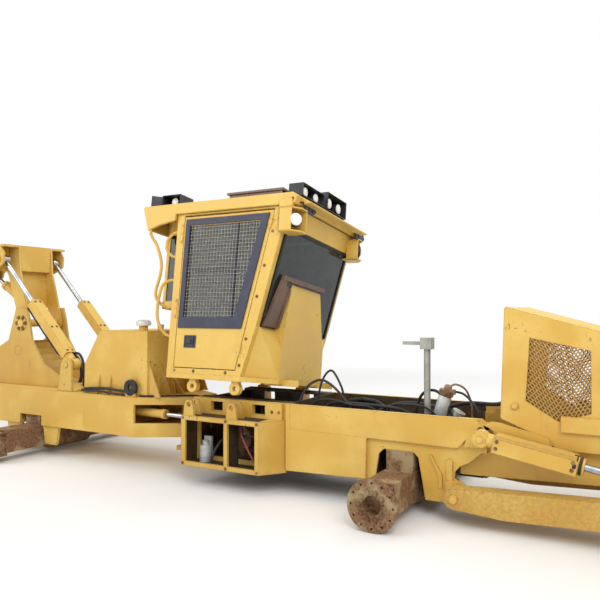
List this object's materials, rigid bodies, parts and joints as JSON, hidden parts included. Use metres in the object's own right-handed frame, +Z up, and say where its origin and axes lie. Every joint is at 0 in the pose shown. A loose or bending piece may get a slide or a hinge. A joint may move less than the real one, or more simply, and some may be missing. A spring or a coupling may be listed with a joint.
{
  "type": "stripped articulated log skidder",
  "caption": "Wheel-less articulated skidder carcass with leaning cab, log arch, boom, dozer blade and bare hub flanges.",
  "frame": {"origin": "on the floor, in the middle of the overall length and width", "axes": "+X to the machine's front, +Y to its left, +Z up"},
  "size_m": [7.975, 2.4, 2.6906],
  "materials": {
    "weathered_yellow_paint": "worn, chalky machine enamel with rust on its edges",
    "rusty_steel": "bare rusted steel and dried mud",
    "chromed_rod": "hard chromed piston rod",
    "black_plastic": "matt black moulding",
    "black_rubber": "hydraulic hose cover",
    "tinted_glass": "dusty tinted safety glass",
    "grey_steel": "dull grey steel",
    "brown_sheet": "faded brown sheet",
    "seat_cloth": "dark seat cover",
    "mesh_steel": "perforated sheet, dusty"
  },
  "bodies": {
    "front_frame": {"front_chassis": "weathered_yellow_paint", "cab_mounts": "weathered_yellow_paint", "hatch_boxes": "weathered_yellow_paint", "left_hatch_cover": "weathered_yellow_paint", "transfer_case": "rusty_steel", "hatch_canister": "grey_steel", "front_axle": "rusty_steel", "radiator_housing": "weathered_yellow_paint", "radiator_core": "black_plastic", "side_grilles": "mesh_steel", "front_grille": "black_plastic", "bay_post": "grey_steel", "bay_filter": "grey_steel", "bay_hoses": "black_rubber"},
    "rear_frame": {"rear_chassis": "weathered_yellow_paint", "rear_axle": "rusty_steel", "hydraulic_tank": "weathered_yellow_paint", "arch_tower": "weathered_yellow_paint"},
    "arch": {"arch_frame": "weathered_yellow_paint"},
    "arch_barrels": {"arch_cylinder_barrels": "weathered_yellow_paint"},
    "arch_rods": {"arch_cylinder_rods": "chromed_rod"},
    "boom": {"boom_beam": "weathered_yellow_paint"},
    "boom_barrel": {"boom_cylinder_barrel": "weathered_yellow_paint"},
    "boom_rod": {"boom_cylinder_rod": "chromed_rod"},
    "steer_barrel_r": {"steer_barrel_right": "weathered_yellow_paint"},
    "steer_barrel_l": {"steer_barrel_left": "weathered_yellow_paint"},
    "steer_rod_r": {"steer_rod_right": "chromed_rod"},
    "steer_rod_l": {"steer_rod_left": "chromed_rod"},
    "blade": {"blade_arms": "weathered_yellow_paint", "dozer_blade": "weathered_yellow_paint"},
    "blade_barrels": {"blade_cylinder_barrels": "weathered_yellow_paint"},
    "blade_rods": {"blade_cylinder_rods": "chromed_rod"},
    "cab": {"cab_floor": "weathered_yellow_paint", "cab_frame": "weathered_yellow_paint", "cab_cowl": "weathered_yellow_paint", "cab_windscreen": "tinted_glass", "cab_rear_window": "tinted_glass", "cab_roof": "weathered_yellow_paint", "roof_air_box": "brown_sheet", "work_lamps": "black_plastic", "grab_rails": "weathered_yellow_paint", "operator_seat": "seat_cloth", "control_console": "black_plastic"},
    "door_right": {"right_door": "weathered_yellow_paint", "right_door_window": "tinted_glass"},
    "door_left": {"left_door": "weathered_yellow_paint", "left_door_window": "tinted_glass"}
  },
  "joints": [
    {"name": "steering", "type": "hinge", "parent": "front_frame", "child": "rear_frame", "pos_m": [-0.1925, 0, 0.45], "axis": [0, 0, 1], "range_deg": [-38, 38]},
    {"name": "steer_barrel_swing_r", "type": "hinge", "parent": "rear_frame", "child": "steer_barrel_r", "pos_m": [-1.1425, -0.3, 0.548], "axis": [0, 0, 1], "range_deg": [-0.3956, 0.3956]},
    {"name": "steer_rod_slide_r", "type": "slide", "parent": "steer_barrel_r", "child": "steer_rod_r", "axis": [0.9995, -0.0316, 0], "range_m": [-0.20172, 0.20172]},
    {"name": "steer_barrel_swing_l", "type": "hinge", "parent": "rear_frame", "child": "steer_barrel_l", "pos_m": [-1.1425, 0.3, 0.548], "axis": [0, 0, 1], "range_deg": [-0.3956, 0.3956]},
    {"name": "steer_rod_slide_l", "type": "slide", "parent": "steer_barrel_l", "child": "steer_rod_l", "axis": [0.9995, 0.0316, 0], "range_m": [-0.20172, 0.20172]},
    {"name": "arch_swing", "type": "hinge", "parent": "rear_frame", "child": "arch", "pos_m": [-2.7525, 0, 1.42], "axis": [0, 1, 0], "range_deg": [-15, 35]},
    {"name": "arch_barrel_swing", "type": "hinge", "parent": "rear_frame", "child": "arch_barrels", "pos_m": [-1.7925, 0, 0.99], "axis": [0, 1, 0], "range_deg": [-5.94, 13.83]},
    {"name": "arch_rod_slide", "type": "slide", "parent": "arch_barrels", "child": "arch_rods", "axis": [-0.7041, 0, 0.7101], "range_m": [-0.27077, 0.1161]},
    {"name": "boom_swing", "type": "hinge", "parent": "arch", "child": "boom", "pos_m": [-3.1525, 0, 2.25], "axis": [0, 1, 0], "range_deg": [-18, 20]},
    {"name": "boom_barrel_swing", "type": "hinge", "parent": "arch", "child": "boom_barrel", "pos_m": [-2.9825, 0, 1.62], "axis": [0, 1, 0], "range_deg": [-6.15, 6.83]},
    {"name": "boom_rod_slide", "type": "slide", "parent": "boom_barrel", "child": "boom_rod", "axis": [-0.8488, 0, 0.5287], "range_m": [-0.13871, 0.15411]},
    {"name": "blade_lift", "type": "hinge", "parent": "front_frame", "child": "blade", "pos_m": [2.4075, 0, 0.205], "axis": [0, -1, 0], "range_deg": [-0.8, 18]},
    {"name": "blade_barrel_swing", "type": "hinge", "parent": "front_frame", "child": "blade_barrels", "pos_m": [2.5975, 0, 0.655], "axis": [0, -1, 0], "range_deg": [-0.95, 20.83]},
    {"name": "blade_rod_slide", "type": "slide", "parent": "blade_barrels", "child": "blade_rods", "axis": [0.9833, 0, -0.1822], "range_m": [-0.14289, 0.00645]},
    {"name": "cab_tilt", "type": "hinge", "parent": "front_frame", "child": "cab", "pos_m": [0.2075, 0.595, 0.727], "axis": [-1, 0, 0], "range_deg": [-7.5, 40]},
    {"name": "right_door_swing", "type": "hinge", "parent": "cab", "child": "door_right", "pos_m": [0.507, -0.6379, 1.05372], "axis": [0.2042, 0.1278, 0.9706], "range_deg": [0, 75]},
    {"name": "left_door_swing", "type": "hinge", "parent": "cab", "child": "door_left", "pos_m": [0.507, 0.69063, 0.87882], "axis": [-0.2042, -0.1278, -0.9706], "range_deg": [0, 75]}
  ],
  "couplings": [
    {"joint": "steer_barrel_swing_r", "follows": "steering", "ratio": -0.01},
    {"joint": "steer_rod_slide_r", "follows": "steering", "m_per_rad": -0.304},
    {"joint": "steer_barrel_swing_l", "follows": "steering", "ratio": -0.01},
    {"joint": "steer_rod_slide_l", "follows": "steering", "m_per_rad": 0.304},
    {"joint": "arch_barrel_swing", "follows": "arch_swing", "ratio": 0.3943},
    {"joint": "arch_rod_slide", "follows": "arch_swing", "m_per_rad": -0.4431},
    {"joint": "boom_barrel_swing", "follows": "boom_swing", "ratio": 0.3403},
    {"joint": "boom_rod_slide", "follows": "boom_swing", "m_per_rad": 0.4412},
    {"joint": "blade_barrel_swing", "follows": "blade_lift", "ratio": 1.1558},
    {"joint": "blade_rod_slide", "follows": "blade_lift", "m_per_rad": -0.4545}
  ]
}
